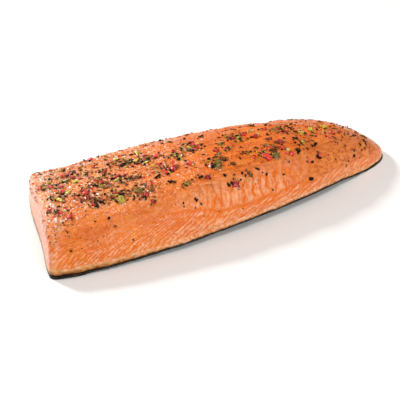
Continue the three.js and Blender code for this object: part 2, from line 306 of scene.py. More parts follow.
# %% Large pieces of seasoning as x, y and length, red, green and dark, as in the solid model
RED_PIECES = np.array([
    [-118, 55, 6], [-149, 28, 6.5], [-143, 30, 5.5], [-141, 16, 5.5], [-136, 12, 4.5], [-174, 8, 6],
    [-164, 5, 5], [-156, 4, 5], [-113, 11, 4.5], [-120, -6, 5], [-127, 7, 4], [-96, 19, 5],
    [-105, -4, 4.5], [-112, -30, 6.5], [-172, -33, 4.5], [-157, -49, 5], [-138, -18, 6.5], [-137, -28, 5],
    [-164, -42, 4.5], [-23, 27, 5], [-53, -11, 7], [-37, -11, 6], [-61, 18, 6], [-64, 0, 5],
    [-71, 25, 4.5], [-29, -38, 5], [-7, 2, 5], [3, 1, 4], [15, 21, 5], [-4, -47, 7], [-83, -53, 4],
    [-87, -43, 4.5], [35, -23, 8.5], [56, -2, 6], [54, -13, 5], [47, 6, 4.5], [68, 17, 5], [60, -22, 4.5],
    [38, 17, 6], [89, -20, 4],
])  # fmt: skip
GREEN_PIECES = np.array([
    [-149, 41, 6], [-140, 33, 6], [-150, 12, 8], [-142, 6, 5.5], [-132, 16, 4.5], [-161, 10, 4.5],
    [-170, 8, 6], [-122, -12, 6.5], [-107, -10, 6.5], [-96, 33, 6], [-87, 25, 6], [-81, 20, 5.5],
    [-162, -20, 6], [-152, -11, 5], [-110, -43, 8.5], [-75, 36, 6], [-73, 11, 5], [-46, 12, 4.5],
    [-43, 3, 5], [-93, -35, 8], [-48, -41, 7], [-28, 18, 4.5], [-8, -5, 5], [-13, -20, 7.5],
    [-15, -27, 6], [0, 13, 6], [11, 26, 4.5], [37, 28, 5], [67, 29, 6], [82, 38, 5], [84, 15, 8],
    [97, 21, 6], [115, 29, 8], [78, -5, 6.5], [44, -23, 7.5], [21, 19, 5],
])  # fmt: skip
DARK_PIECES = np.array([
    [-171, 1, 6], [-162, 23, 5], [-156, -10, 5], [-170, -15, 5], [-129, 17, 5], [-135, -13, 5.5],
    [-115, -25, 5], [-108, -34, 5.5], [-116, -37, 5], [-132, -33, 5], [-141, -29, 5], [-132, -42, 8],
    [-126, -39, 5], [-167, -40, 6.5], [-173, -38, 4.5], [-94, 17, 8], [-115, 5, 5], [-95, -13, 5],
    [-89, -12, 5], [-72, -20, 5.5], [-62, -34, 5.5], [-28, 13, 7], [-10, 37, 6.5], [-7, -14, 6.5],
    [-20, -24, 5], [-71, 14, 8], [-90, -45, 5.5], [-80, -38, 7], [-35, -37, 6.5], [5, 3, 5], [-7, -46, 6],
    [44, 43, 6.5], [29, 26, 5.5], [44, -16, 6.5], [89, -10, 6.5], [69, -19, 7], [15, -10, 5.5],
    [12, -39, 6.5],
])  # fmt: skip
print("large pieces, red, green and dark:", len(RED_PIECES), len(GREEN_PIECES), len(DARK_PIECES))

# %% How thick the seasoning lies
BELL_WIDTH = 1.1  # width of a drift's bell as a share of its spread
FULL_SHARE = 10  # the share at which the middle of a drift is covered fully


def spice(points):
    """How thick the seasoning lies at a point, 0 to 1: a bell curve round every drift, added up."""
    offset = points[..., None, :2] - DRIFTS[:, :2]
    bells = np.exp(-(offset**2).sum(axis=-1) / (2 * (BELL_WIDTH * DRIFTS[:, 2]) ** 2))
    return np.clip((bells * DRIFTS[:, 3] / FULL_SHARE).sum(axis=-1), 0, 1)


print("seasoning in the middle of the first drift:", round(float(spice(DRIFTS[0, :2])), 2))

# %% [markdown]
# ## Flakes
# Salmon muscle is built in thin flakes, one behind the other, with pale lines of fat between them. On the
# side of a fillet each line starts at the fat, runs shallowly towards the tail, then bends upright. So
# one function gives every point a flake number, and its whole values are the lines. Colour and relief
# both read that number, so they always agree.

# %% Flake number
# Each change is given as its start and stop from the cut and its amount, in millimetres.
FLAKE_AT_CUT, FLAKE_CHANGES = 3.4, ((0, 70, 2.4), (80, 150, 3.7))  # length of a flake
BAND_AT_CUT, BAND_CHANGES = 19, ((30, 90, 8), (100, 165, -14), (175, 265, -3))  # height of the low band
FAN_LEAN, FAN_CURVE = (0.4, ((0, 40, 0.7),)), (0.01, ((0, 45, 0.025),))  # lean of the fan, and its growth
BAND_LEAN = (2.0, ((140, 215, 0.8),))  # lean of the lines at the foot of the low band
BEND_POWER, BEND_HEIGHT = 1.35, 1.2  # power of the bend, and where it ends as a share of the low band
UPRIGHT_LEAN = 0.12  # lean of the lines over the bend
BELLY_FLAKE, BELLY_BEND = 6.0, 26.0  # length of a flake on the belly side, and the height of its bend
BELLY_LEAN, BELLY_START = 0.65, 0.4  # lean of the lines there, and the number that they start from


def climb_from(points):
    """Distance up the surface from the first point of each ring."""
    steps = np.linalg.norm(np.diff(points, axis=1), axis=2)
    return np.concatenate([np.zeros((len(points), 1)), np.cumsum(steps, axis=1)], axis=1)


def flake_count(x):
    """Number of flakes between the cut and x along the fat: the sum of 1 over their length, which grows
    from 3.4 mm next to the cut to 9.5 mm at 150 mm from it."""
    places = np.linspace(CUT_X - 160, TIP_X + 30, 2000)
    length = changing(FLAKE_AT_CUT, FLAKE_CHANGES, places - CUT_X)
    return np.interp(x, places, np.cumsum((places[1] - places[0]) / length))


def band_top(x):
    """Height of the low band of slanting flakes over the fat."""
    return changing(BAND_AT_CUT, BAND_CHANGES, x - CUT_X)


def back_flakes(x, climb):
    """Flakes of the back face. Next to the cut their lines fan out: each leaves the fat steeply and leans
    over further as it climbs. Further on they run shallowly in the low band, then bend upright."""
    t = x - CUT_X
    fanning = changing(*FAN_LEAN, t) * climb + changing(*FAN_CURVE, t) * climb**2
    bend = BEND_HEIGHT * band_top(x)
    rest = 1 - np.clip(climb / bend, 0, 1)
    bending = changing(*BAND_LEAN, t) * bend / BEND_POWER * (1 - rest**BEND_POWER)
    bending = bending + UPRIGHT_LEAN * np.maximum(climb - bend, 0)
    return flake_count(x - mix(fanning, bending, smooth(85, 150, t)))


def belly_flakes(x, climb):
    """Flakes of the belly side, leaning the same way with an even bend."""
    rest = 1 - np.clip(climb / BELLY_BEND, 0, 1)
    return (x - BELLY_LEAN * BELLY_BEND * (1 - rest * rest)) / BELLY_FLAKE + BELLY_START


def valley(number, width):
    """1 on whole flake numbers and 0 away from them, a rounded notch of the given width."""
    away = np.abs(number - np.round(number))
    return 1 - smooth(0, width, away)


print("flakes between the cut and the tip:", round(float(flake_count(TIP_X) - flake_count(CUT_X))))

# %% Plain flesh surface before relief
arch_y, arch_z = arch(ring_x, turns)
heart = flesh_base(ring_x, 0) + (crown(ring_x) - flesh_base(ring_x, 0)) / 2
arch_z = arch_z - ring_inset * 0.9 * np.sin(turns)  # the rounded edge of the cut lowers the top there too
plain = settle(ring_x, ring_inset, ring_size, arch_y, arch_z, heart)
outward = outward_of(plain)

climb = climb_from(plain)
belly_climb = climb[:, -1:] - climb
side = np.broadcast_to(smooth(1.3, 1.9, turns), climb.shape)
x_all = np.broadcast_to(ring_x, climb.shape)
print("arch length in the middle:", round(float(climb[len(climb) // 2, -1])), "mm")

# %% Where flakes show
wander = clouds(plain, (0.5, 34, 3), (0.42, 12, 4), (0.26, 4.5, 5))
back_number = back_flakes(x_all, climb) + wander
belly_number = belly_flakes(x_all, belly_climb) + 2 * wander
on_back, past_cut = 1 - side, x_all - CUT_X
over_band = climb - band_top(x_all) + clouds(plain, (2.5, 18, 6), (1.2, 7, 7))
fade_from = mix(-13, -3, smooth(100, 150, past_cut))
fade_to = mix(20, 3, smooth(110, 175, past_cut))
low_line = on_back * smooth(fade_to, fade_from, over_band) * smooth(52, 40, climb)
upright_line = on_back * smooth(80, 150, past_cut) * smooth(-1, 3, over_band)
upright_line = upright_line * smooth(48, 26, climb) * (1 - 0.8 * smooth(215, 275, past_cut))
belly_line = 0.5 * side * smooth(44, 16, belly_climb + 6 * cloud(plain, 20, 24))
ends = smooth(0, 5, x_all - CUT_X) * smooth(TIP_X - 6, TIP_X - 30, x_all) * (ring_size > 0.99)
flake_number_all = np.where(side < 0.5, back_number, belly_number)
flake_line = (low_line + belly_line) * ends
upright_line = upright_line * ends
print("share of the surface that shows flakes:", round(float((flake_line + upright_line > 0.3).mean()), 2))

# %% [markdown]
# ## Relief
# The real surface has several kinds of relief: notches between flakes, a seam that runs along the back
# face, long seams and streaks on the top, a grain that is coarser under the oil, and an uneven swell.
# They are added along the outward direction, in millimetres, as true shape, because a painted bump has no
# edge and no shadow.

# %% Relief of the flesh
SEAM_TURNS, SEAM_WIDTH = (1.12, 1.9), 0.06  # turns of the two long seams on the top, and half their width
LOW_NOTCH, UPRIGHT_NOTCH = 0.22, 0.12  # depths of the notches along low and upright flake lines
SEPTUM_DEPTH, TOP_SEAM_DEPTH = 0.3, 0.25  # depths of the seam along the back face and of those on the top
STREAK_HEIGHT, GRAIN = 0.22, 0.1  # heights of the streaks on the top and of the grain everywhere
WET_GRAIN, WET_LUMPS = 0.14, 0.5  # what the oil adds to the grain
SWELL = ((1.2, 34, 11), (0.8, 13, 12), (0.3, 6, 13))  # height, size and seed of each layer


def seam(distance, width):
    """A groove 1 deep on its line and 0 a width away."""
    return 1 - smooth(0, width, np.abs(distance))


septum = np.maximum(seam(over_band, 3.0), 0.7 * seam(over_band + 6, 1.8)) * on_back
septum = septum * smooth(85, 125, past_cut) * smooth(290, 240, past_cut)
top_seams = sum(seam(turns - at - 0.12 * cloud(plain, 45, 8), SEAM_WIDTH) for at in SEAM_TURNS)
top_seams = top_seams * smooth(115, 195, past_cut) * smooth(0.95, 0.8, along(x_all))
top_seams = top_seams * smooth(-0.3, 0.5, cloud(plain, 30, 9))
unsure = clouds(plain, (7, 22, 10), (3, 7, 11))
top_share = smooth(24, 46, climb + unsure) * smooth(14, 36, belly_climb + unsure)

streaks = STREAK_HEIGHT * top_share * cloud(plain * [0.22, 1, 1], 4.5, 14)
low_notches = LOW_NOTCH * flake_line * valley(flake_number_all, 0.3)
notches = low_notches + UPRIGHT_NOTCH * upright_line * valley(flake_number_all, 0.2)
wet = top_share * smooth(195, 105, past_cut)
grain = clouds(plain, (GRAIN + WET_GRAIN * wet, 2.4, 15), (WET_LUMPS * wet, 4.2, 16))
relief = clouds(plain, *SWELL) + streaks + grain
relief = relief - notches - SEPTUM_DEPTH * septum - TOP_SEAM_DEPTH * top_seams
relief = relief * smooth(0.5, 4, climb) * smooth(0.5, 4, belly_climb) * ends
flesh_grid = plain + outward * relief[..., None]
print("relief from", round(float(relief.min()), 2), "to", round(float(relief.max()), 2), "mm")

# %% Flesh mesh
BASE_ACROSS = np.array([0.94, 0.8, 0.4, 0.0, -0.4, -0.8, -0.94])[None, :]
middle, half, _, _ = plan(ring_x)
base = settle(
    ring_x, ring_inset, ring_size, middle + half * BASE_ACROSS, flesh_base(ring_x, BASE_ACROSS), heart
)
loops = np.concatenate([flesh_grid, base], axis=1)
rows, columns = loops.shape[:2]
face_heart = settle(ring_x[:1], 0, 1, middle[:1], heart[:1], heart[:1]).reshape(1, 3)
tip = np.array([[TIP_X, TAIL_Y, flesh_base(TIP_X, 0)]])
flesh_points = np.concatenate([loops.reshape(-1, 3), face_heart, tip])
first_pole, last_pole = rows * columns, rows * columns + 1
flesh_faces = [
    ring_faces(rows, columns),
    pole_faces(np.arange(columns), first_pole, True),
    pole_faces(np.arange(columns) + (rows - 1) * columns, last_pole, False),
]


def whole(values, base_value=0.0):
    """A value for every point of the flesh: the arch's own, one for the base of each ring, and its ends
    for the two poles."""
    padded = np.zeros((rows, columns))
    padded[:] = base_value
    padded[:, :ARCH_POINTS] = values
    return np.append(padded.ravel(), [padded[0, -1], padded[-1, -1]])


on_cut = smooth(1.5, 0.0, ring_x - CUT_X) * (ring_size < 1.01)
# Flakes show on the cut as flattened rings, 4.4 mm apart upward, round a point near the middle of it.
cut_rings = np.sqrt(0.30 * (plain[..., 1] + 12) ** 2 + (plain[..., 2] - 24) ** 2) / 4.4
cut_rings = cut_rings + 0.25 * cloud(plain, 12, 21)
# Pink near the rounded edge of the cut is a painted highlight where that edge faces the light, and the
# faint pink on the near shoulder is painted sheen; on the flake lines the pink is their own colour.
corner = 1 - smooth(3, 17, past_cut + 4 * cloud(plain, 9, 22))
shoulder = smooth(24, 36, climb) * smooth(62, 46, climb) * smooth(120, 60, past_cut)
pink_and_highlight = 1.0 * corner + 0.1 * shoulder + 0.65 * low_line * smooth(90, 150, past_cut) + 0.75 * upright_line
pink_and_highlight = np.clip(pink_and_highlight, 0, 1) * smooth(-0.9, 0.3, cloud(plain, 10, 23))
flesh_attributes = {
    "flake": whole(flake_number_all),
    "line": whole(flake_line),
    "upright_line": whole(upright_line),
    "base": whole(smooth(2.4, 0.0, np.minimum(climb, belly_climb)) * (1 - on_cut), 1 - on_cut),
    "top": whole(top_share * (1 - 0.45 * smooth(180, 260, past_cut))),
    "cut": whole(on_cut, on_cut),
    "rings": whole(cut_rings, cut_rings[:, -1:]),
    "climb": whole(np.minimum(climb, belly_climb)),
    "septum": whole(septum),
    "top_seam": whole(top_seams),
    "pink_and_highlight": whole(pink_and_highlight),
    "wet": whole(wet),
    "tail": whole(smooth(205, 285, past_cut) * (1 - 0.9 * low_line) * (1 - 0.9 * top_share)),
    "spice": whole(spice(plain) * top_share),
}
flesh = build("flesh_surface", flesh_points, flesh_faces, flesh_attributes)

# %% [markdown]
# ## Fat and skin
# Under the flesh lie a soft band of tan fat and the black skin. Both follow the underside of the fillet,
# which is flat where it rests and curls up along its edges. A loop of points goes over the layer, round
# one rim, back under it and round the other rim. Boxes bent by a modifier could do the same, but here the
# rims need their own uneven edge.

# %% A layer that follows the underside
LAYER_RINGS, RIM_STEPS = 260, 5
FLAT_SHARE = 0.76  # share of the half width that a layer crosses in wide steps, inside its curl
FAT_OVERLAP = 0.25  # how far the fat reaches up into the flesh, so that no gap shows


def layer_loop():
    """Places round a layer's section as share of the half width, outward reach and level. The loop starts
    and ends in the middle of the back rim, so its two halves mirror each other."""
    middle, edge = np.linspace(-FLAT_SHARE, FLAT_SHARE, 24), np.linspace(FLAT_SHARE, 1, 18)[1:]
    flat = np.concatenate([-edge[::-1], middle, edge])
    quarter = (np.arange(RIM_STEPS) + 0.5) / RIM_STEPS * np.pi / 2
    share = np.concatenate([-np.ones(RIM_STEPS), flat, np.ones(RIM_STEPS)])
    reach = np.concatenate([-np.cos(quarter), 0 * flat, np.cos(quarter[::-1])])
    level = 0.5 + 0.5 * np.concatenate([np.sin(quarter), 0 * flat + 1, np.sin(quarter[::-1])])
    over, under = np.stack([share, reach, level]), np.stack([share, reach, 1 - level])
    return np.concatenate([over, under[:, ::-1]], axis=1)[:, None, :]


def layer(name, lower, upper, proud, bulge, ragged, shade_droop):
    """A closed sheet between two heights over the underside, standing out past the flesh by proud, with
    rims that bulge and wander by the given amounts. Over the first 60 mm from the cut, the lower side of
    its lifted edge hangs back down by the given share of the lift; on the skin this fills the gap under the
    curled edge with black, a dark sheet in place of the shade there."""
    x, (share, reach, level) = layer_x, layer_loop()
    middle, half, _, _ = plan(x)
    wide = (half + proud) / np.maximum(half, 1)
    across = share * mix(1, wide, smooth(0.8, 0.85, np.abs(share)))
    hang = shade_droop * smooth(60, 10, x - CUT_X)
    z = underside(x, across) * (1 - hang * (1 - level)) + mix(lower, upper, level)
    spot = np.stack(np.broadcast_arrays(x, 60 * share, 8 * level), -1)
    rough = ragged * clouds(spot, (1, 16, 31), (0.6, 5, 32)) * smooth(0.9, 1, np.abs(share))
    y = middle + (half + proud) * share + (bulge * reach + rough * np.sign(share)) * smooth(0, 12, half)
    points = settle(x, layer_inset, layer_size, y, z, z)
    points[..., 0] += (proud + 0.4 * rough) * smooth(TIP_X - 20, TIP_X, x)
    rows, columns = points.shape[:2]
    k = np.arange(columns // 2 - 1)
    strip = np.stack([k, k + 1, columns - 2 - k, columns - 1 - k], -1)
    faces = [ring_faces(rows, columns), strip, strip[:, ::-1] + (rows - 1) * columns]
    fleshy = 0.6 * smooth(20, 130, x - CUT_X)
    attributes = {"level": np.broadcast_to(level, z.shape), "fleshy": np.broadcast_to(fleshy, z.shape)}
    return build(name, points.reshape(-1, 3), faces, attributes)


layer_x, layer_inset, layer_size = stations(0, ROUND_RINGS, LAYER_RINGS)
fat_top = SKIN + 2 * GAP + fat_thickness(layer_x) + FAT_OVERLAP
fat = layer("fat_band", SKIN + GAP, fat_top, proud=0.1, bulge=0.35, ragged=0.5, shade_droop=0.0)
# Near the cut the skin hangs fully down: black skin put into the gap under its curl, standing in for the
# shade there.
skin = layer("skin_sheet", 0.0, SKIN, proud=1.0, bulge=0.5, ragged=0.6, shade_droop=1.0)

# %% [markdown]
# ## Places for the seasoning
# The seasoning was strewn by hand: it lies in drifts, most of them near the thick end, and thins out
# towards the tail and down the sides. The large pieces and some single specks lie at given places, the
# large ones where the solid has them. The finer ones are drawn round the drifts, over the top, down the
# slopes and along the cut. Dropping pieces in a physics simulation would also spread them, but then
# nothing would tell where they end up.

# %% Points and outward directions on the flesh
grid_out = outward_of(flesh_grid)


def draw(n):
    """The repeatable draw of the solid model: the fraction of a large sine."""
    s = np.sin(n * 12.9898) * 43758.5453
    return s - np.floor(s)


def side_of(x, y):
    """Place across the section at x: -1 at the back edge, 1 at the belly edge."""
    middle, half, _, _ = plan(x)
    return (y - middle) / np.maximum(half, 1)


def turn_at(x, y):
    """The turn of the arch over a place on the plan, from the superellipse read backwards."""
    side = np.clip(side_of(x, y), -1, 1)
    power = 1 / np.where(side < 0, *SIDE_POWERS)
    return np.arccos(-np.sign(side) * np.abs(side) ** power)


def on_flesh(x, turn):
    """Point and outward direction at x and turn, blended from the four nearest points of the grid. An x
    that falls short of the cut by s stands for the face of the cut, shrunk by s round its heart."""
    body = ring_size[:, 0] > 0.999
    u = np.interp(x, ring_x[body, 0], np.flatnonzero(body))
    u = np.where(x < CUT_X, (1 + x - CUT_X) * FACE_RINGS, u)
    v = np.interp(turn, turns[0], np.arange(ARCH_POINTS))
    i, j = np.clip(u.astype(int), 0, len(ring_x) - 2), np.clip(v.astype(int), 0, ARCH_POINTS - 2)
    s, t = (u - i)[:, None], (v - j)[:, None]

    def blend(grid):
        near = mix(grid[i, j], grid[i + 1, j], s)
        return mix(near, mix(grid[i, j + 1], grid[i + 1, j + 1], s), t)

    return blend(flesh_grid), blend(grid_out)


print("middle of the top:", np.round(on_flesh(np.array([0.0]), np.array([np.pi / 2]))[0], 1))

# %% Where each kind falls
FROM_CUT, FROM_TIP, FROM_TIP_ON_SLOPES = 8, 18, 22  # margins in mm
SIDE_REACH = 0.9  # share of the half width that counts as the top
SLOPE_TURNS = (0.12, 1.15)  # turns of the back face, mirrored for the belly side
CUT_TURN = 0.45  # turn at which the sprinkle along the cut starts


def drift_places(count, seed, spread):
    """Places round the drifts: a drift is picked by its share, then an angle and a reach are drawn."""
    n = np.arange(count) + seed * 1000
    shares = np.cumsum(DRIFTS[:, 3]) / DRIFTS[:, 3].sum()
    chosen = DRIFTS[np.searchsorted(shares, draw(n * 3.1))]
    angle, reach = 2 * np.pi * draw(n * 5.3 + 1), spread * chosen[:, 2] * draw(n * 7.7 + 2) ** 0.7
    return chosen[:, 0] + reach * np.cos(angle) * 1.25, chosen[:, 1] + reach * np.sin(angle)


def strewn_places(count, seed, crowding):
    """Places all over the top, crowded towards the cut by a power, kept off the steep sides."""
    n = np.arange(count) + seed * 1000
    x = mix(CUT_X + FROM_CUT, TIP_X - FROM_TIP, draw(n * 3.7 + 5) ** crowding)
    middle, half, _, _ = plan(x)
    return x, middle + half * SIDE_REACH * (2 * draw(n * 9.1 + 4) - 1)


def places(count, seed, in_drifts, spread=1.3, crowding=1.5, reach=2 * LENGTH):
    """x and turn of so many places, the given share of them in drifts. They thin out down the back
    shoulder, along a line that wanders, fade out at a reach from the cut, and stop short of it by a drawn
    amount."""
    part = int(count * in_drifts)
    all_over = strewn_places(count - part, seed + 1, crowding)
    x, y = np.concatenate([drift_places(part, seed, spread), all_over], axis=1)
    side = side_of(x, y)
    wandering = side + 0.22 * cloud(np.stack([x, 0 * x, 0 * x], -1), 24, 41)
    n = np.arange(count) + seed * 77
    kept = (np.abs(side + 0.02) < SIDE_REACH) & (x > CUT_X + 2 + 4 * draw(n * 2.7)) & (x < TIP_X - 8)
    kept &= draw(n) > 0.93 * smooth(-0.3, -0.72, wandering)
    kept &= draw(n * 1.3) > smooth(0.5 * reach, reach, x - CUT_X)
    return x[kept], turn_at(x[kept], y[kept])


def slope_places(count, seed):
    """x and turn of a sparse sprinkle down the back face and the belly side."""
    n = np.arange(count) + seed * 1000
    x = mix(CUT_X + FROM_CUT, TIP_X - FROM_TIP_ON_SLOPES, draw(n * 3.7 + 5) ** 1.2)
    turn = mix(*SLOPE_TURNS, draw(n * 9.1 + 4) ** 0.7)
    return x, np.where(draw(n * 6.1 + 3) < 0.6, turn, np.pi - turn)


def cut_places(count, seed):
    """x and turn of a sprinkle along the edge of the cut: one in five on its face, the others on top."""
    n = np.arange(count) + seed * 1000
    inward, on_face = draw(n * 4.3 + 6), draw(n * 5.9 + 1) < 0.2
    x = np.where(on_face, CUT_X - 0.04 - 0.5 * inward, CUT_X + FROM_CUT * inward)
    return x, mix(CUT_TURN, np.pi - CUT_TURN, draw(n * 8.3 + 2))


def specks_by_hand(table):
    """x and turn of single specks given by x and y: the turn whose place on the arch has that y."""
    turn = np.linspace(0.02, np.pi - 0.02, 800)
    found = [np.interp(y, arch(x, turn)[0], turn) for x, y in table[:, :2]]
    return table[:, 0], np.array(found)


print(len(places(1000, 3, 0.5)[0]), "of 1000 places kept")

# %% Single specks of pepper, also down the back face and on the tail, as x, y and length
SPECKS = np.array([
    [-155, -16, 4], [-161, -15, 4], [-126, -9, 4.5], [-116, -9, 4.5], [-110, -6, 4.5], [-111, -34, 4],
    [-144, -19, 4], [-124, -55, 4], [-110, 4, 4.5], [-81, 35, 4.5], [-161, 0, 4], [-136, -55, 2.5],
    [-157, -38, 3], [-142, -43, 2], [-163, -50, 2.5], [-160, -59, 2.5], [-160, -70, 3], [-151, -70, 1.5],
    [-137, -68, 1.5], [-146, -66, 1.5], [-106, 25, 4.5], [-117, 13, 4], [-139, 44, 2.5], [-168, 32, 3],
    [-98, -5, 3], [-61, -19, 4.5], [-36, 18, 4.5], [-80, 13, 5], [-85, -27, 4.5], [-60, -7, 4.5],
    [-57, 17, 3.5], [-48, 41, 4], [-16, -14, 3], [-26, 40, 4], [-12, -34, 4.5], [-3, -34, 3],
    [-57, -53, 3], [-41, -54, 3], [-47, -56, 2], [-57, -55, 2], [0, -23, 6], [-24, -56, 2], [0, -52, 2],
    [22, 17, 5], [50, -1, 4.5], [76, -4, 5], [87, -16, 4.5], [49, 15, 4.5], [57, 38, 3.5], [77, 22, 3],
    [69, 13, 3.5], [80, 17, 4], [88, 15, 4], [61, 4, 3.5], [45, 8, 3.5], [22, -10, 3], [23, -17, 4],
    [30, -14, 3], [34, -13, 3], [79, -11, 4], [84, -2, 3.5], [89, -17, 4.5], [80, -21, 4], [55, -24, 3],
    [46, -33, 3], [29, -34, 3.5], [5, -33, 4], [25, -33, 2.5], [-11, -42, 5], [-7, -41, 4], [46, 29, 3.5],
    [76, -29, 5.5], [145, 8, 3.5], [134, 0, 4], [133, -3, 4], [124, 0, 3.5], [132, 18, 3], [154, 14, 3],
    [153, 10, 3], [150, 7, 3.5], [145, 4, 3], [157, 22, 3], [141, -1, 2], [121, -11, 3], [125, -8, 2.5],
    [108, -13, 3], [113, 0, 2.5], [115, -1, 2.5], [128, 33, 3], [123, 31, 3], [139, 15, 2], [148, 26, 2],
    [146, 15, 2],
])  # fmt: skip
print(len(SPECKS), "single specks")

# %% Small shapes


def icosahedron():
    """Twelve corners on the unit sphere and twenty faces."""
    g = (1 + 5**0.5) / 2
    corners = [(-1, g, 0), (1, g, 0), (-1, -g, 0), (1, -g, 0), (0, -1, g), (0, 1, g)]
    corners += [(0, -1, -g), (0, 1, -g), (g, 0, -1), (g, 0, 1), (-g, 0, -1), (-g, 0, 1)]
    faces = [(0, 11, 5), (0, 5, 1), (0, 1, 7), (0, 7, 10), (0, 10, 11), (1, 5, 9), (5, 11, 4), (11, 10, 2)]
    faces += [(10, 7, 6), (7, 1, 8), (3, 9, 4), (3, 4, 2), (3, 2, 6), (3, 6, 8), (3, 8, 9), (4, 9, 5)]
    faces += [(2, 4, 11), (6, 2, 10), (8, 6, 7), (9, 8, 1)]
    return np.array(corners) / np.hypot(1, g), np.array(faces)


def finer(corners, faces):
    """Each triangle in four, with the new corners pushed out to the unit sphere."""
    edges = np.sort(faces[:, [0, 1, 1, 2, 2, 0]].reshape(-1, 2), axis=1)
    unique, which = np.unique(edges, axis=0, return_inverse=True)
    middles = corners[unique].sum(axis=1)
    middles /= np.linalg.norm(middles, axis=1, keepdims=True)
    a, b, c = faces.T
    ab, bc, ca = (which.reshape(-1, 3) + len(corners)).T
    split = [(a, ab, ca), (b, bc, ab), (c, ca, bc), (ab, bc, ca)]
    return np.concatenate([corners, middles]), np.concatenate([np.stack(s, -1) for s in split])


def chip(rows=4, columns=5):
    """A thin plate with a rounded outline: two grids, top and bottom, joined round their rim."""
    u, v = np.meshgrid(np.linspace(-1, 1, columns), np.linspace(-1, 1, rows))
    round_u, round_v = u * np.sqrt(1 - v * v / 2), v * np.sqrt(1 - u * u / 2)
    top = np.stack([round_u, round_v, 0 * u + 1], -1).reshape(-1, 3)
    grid = np.arange(rows * columns).reshape(rows, columns)
    quads = np.stack([grid[:-1, :-1], grid[:-1, 1:], grid[1:, 1:], grid[1:, :-1]], -1).reshape(-1, 4)
    rim = np.concatenate([grid[0, :-1], grid[:-1, -1], grid[-1, :0:-1], grid[:0:-1, 0]])
    after = np.roll(rim, -1)
    below = rows * columns
    sides = np.stack([rim + below, after + below, after, rim], -1)
    faces = np.concatenate([quads, quads[:, ::-1] + below, sides])
    return np.concatenate([top, top * [1, 1, -1]]), faces


def strew(name, shape, x, turn, sizes, spin, sunk, uneven, lean, seed, flat=True, bend=0.0):
    """One mesh of many copies of a shape. Each copy is scaled to its length, width and thickness, made
    uneven corner by corner, bent, leant by a drawn angle, spun, and set on the flesh, sunk by a share of
    its thickness."""
    corners, faces = shape
    n, k = len(x), len(corners)
    number, corner = np.arange(n)[:, None], np.arange(k)[None, :]
    rough = 1 - uneven / 2 + uneven * lattice(number, corner, 3 * corner, seed + 5)
    local = corners * rough[..., None] * (sizes / 2)[:, None, :]
    curve = corners[:, 0] ** 2 * np.sin(number * 1.7) + 0.4 * corners[:, 1]
    along, across, up = local[..., 0], local[..., 1], local[..., 2] + bend * sizes[:, 2:] * curve
    angle = lean * (2 * draw(number + seed * 13) - 1)
    c, s = np.cos(angle), np.sin(angle)
    local = np.stack([c * along + s * up, across, c * up - s * along], -1)
    point, out = on_flesh(x, turn)
    first = np.cross(out, [0.0, 1.0, 0.0])
    first /= np.linalg.norm(first, axis=1, keepdims=True)
    second = np.cross(out, first)
    c, s = np.cos(spin)[:, None], np.sin(spin)[:, None]
    long, wide = -c * first + s * second, -s * first - c * second
    centre = point + out * (sizes[:, 2:] * (0.5 - sunk))
    placed = centre[:, None] + local @ np.stack([long, wide, out], 1)
    all_faces = (faces + (np.arange(n) * k)[:, None, None]).reshape(-1, faces.shape[1])
    tone = np.repeat(draw(np.arange(n) * 3.3 + seed), k)
    return build(name, placed.reshape(-1, 3), [all_faces], {"tone": tone}, flat)


BALL = finer(*icosahedron())
CUBE = (np.sign(BALL[0]) * np.abs(BALL[0]) ** 0.55, BALL[1])
SHARD = icosahedron()
CHIP = chip()
print("faces of a ball, a shard and a chip:", len(BALL[1]), len(SHARD[1]), len(CHIP[1]))

# %% [markdown]
# ## Finishes
# The finishes are mixed from the numbers that the surfaces carry (flake number, height over the base,
# place on the cut) and from noise in Object coordinates. A picture wrapped round the fillet would stretch
# at its ends, while numbers on the surface don't. Cooked salmon is soft and lets light in a little way,
# so each finish has some subsurface light, and a coat stands for the oil.

# %% Shader helpers


def srgb(red, green, blue):
    """A colour as seen, 0 to 255, as the linear light that shaders count in."""
    c = np.array([red, green, blue]) / 255
    return (*np.where(c <= 0.04045, c / 12.92, ((c + 0.055) / 1.055) ** 2.4).tolist(), 1.0)


